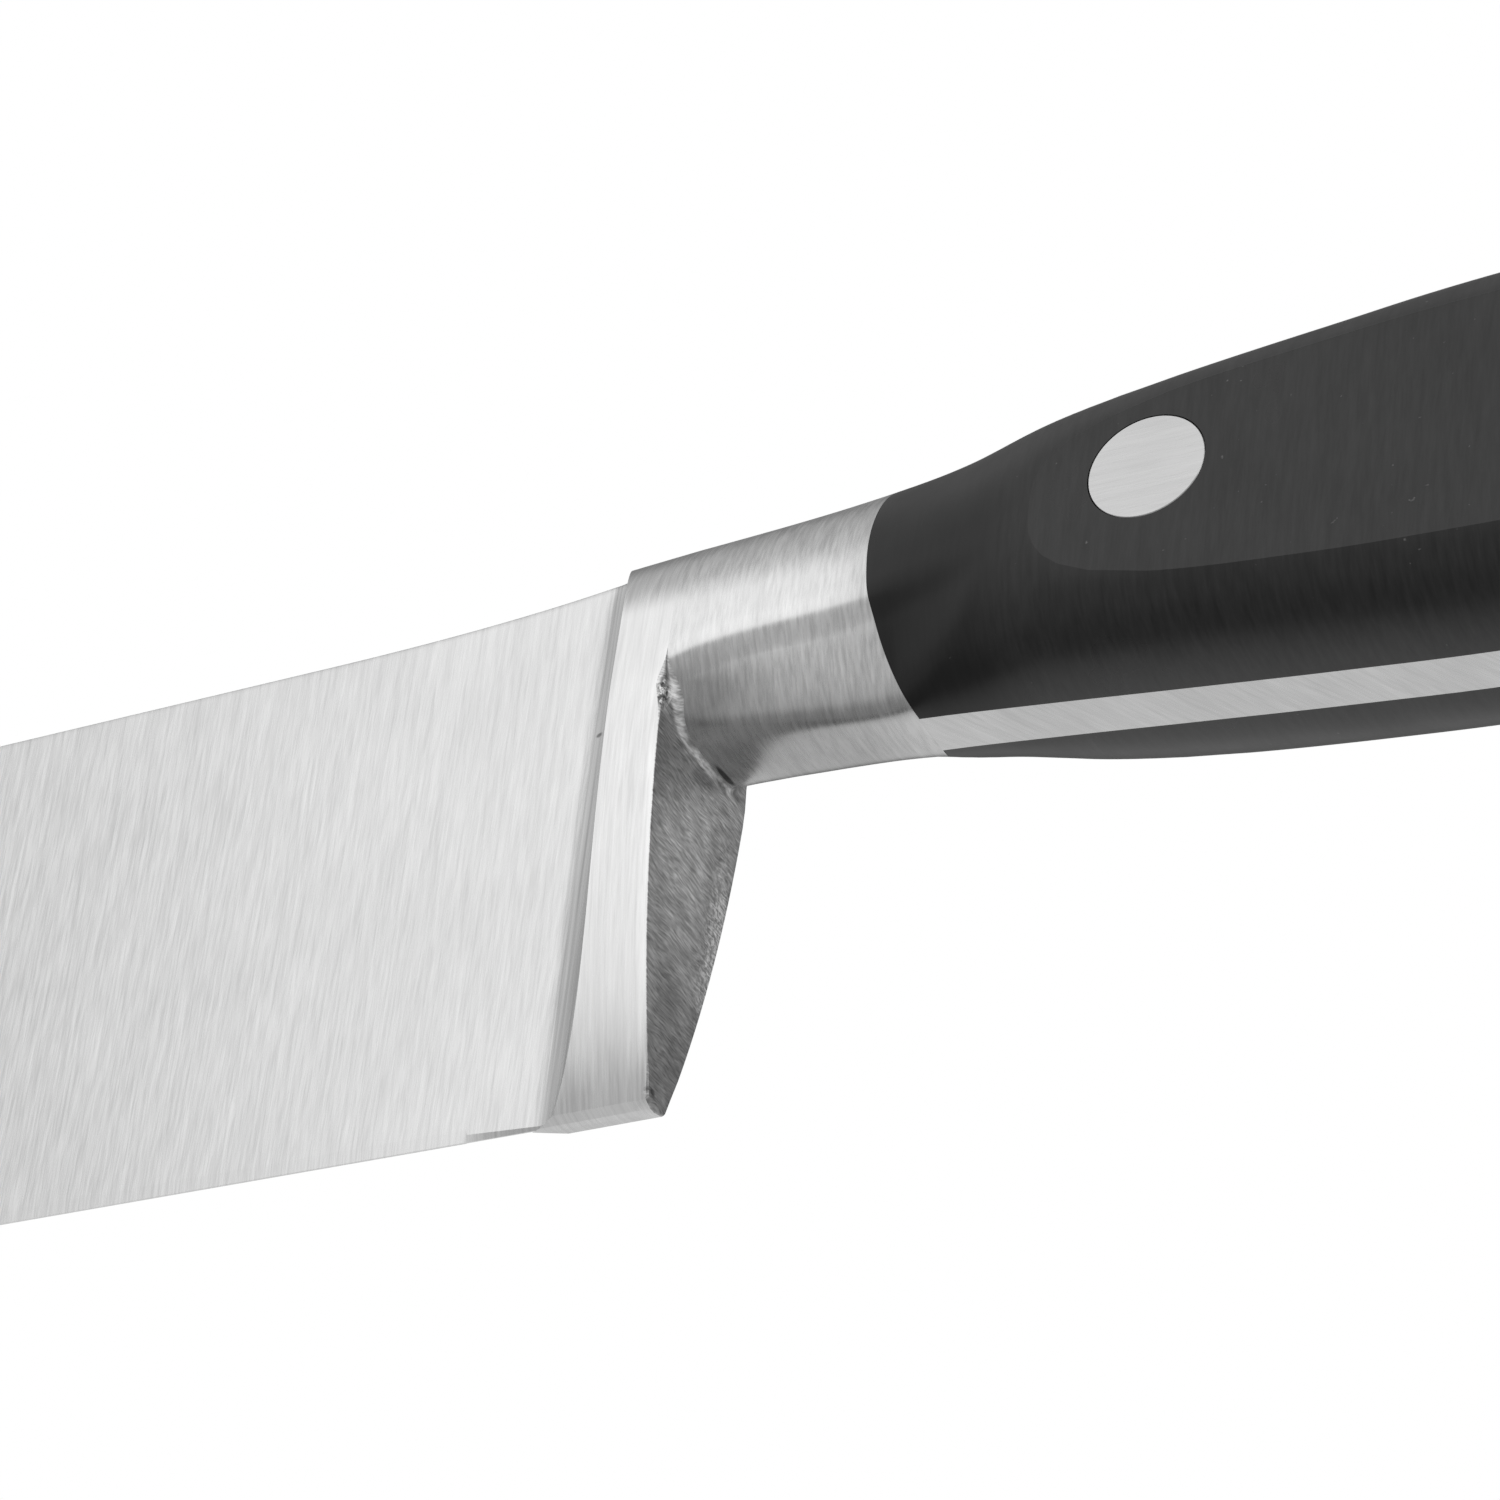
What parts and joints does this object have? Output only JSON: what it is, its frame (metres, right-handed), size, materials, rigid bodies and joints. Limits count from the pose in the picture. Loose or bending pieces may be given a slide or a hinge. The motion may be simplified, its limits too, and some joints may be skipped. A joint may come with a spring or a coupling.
{
  "type": "chef knife",
  "caption": "Forged chef knife: wedge-ground steel blade, full bolster with a collar, and a full-tang handle of black plastic scales held by flush steel rivets.",
  "frame": {"origin": "under the middle of the overall length, at the height of the heel of the edge, in the knife's middle plane", "axes": "+X towards the butt of the handle, -X towards the tip, +Z towards the spine with the cutting edge down, -Y towards the left face of the blade as the holder sees it"},
  "size_m": [0.331, 0.018, 0.0498],
  "materials": {
    "forged_steel": "satin, ground with fine lines across the blade and around the collar",
    "black_scale": "satin black moulded plastic with faint polishing lines",
    "rivet_steel": "ground flush, with faint lines along the handle"
  },
  "bodies": {
    "root": {"forged_blade": "forged_steel", "handle_scale_left": "black_scale", "handle_scale_right": "black_scale", "rivet_front_female": "rivet_steel", "rivet_front_male": "rivet_steel", "rivet_middle_female": "rivet_steel", "rivet_middle_male": "rivet_steel", "rivet_rear_female": "rivet_steel", "rivet_rear_male": "rivet_steel"}
  },
  "joints": []
}
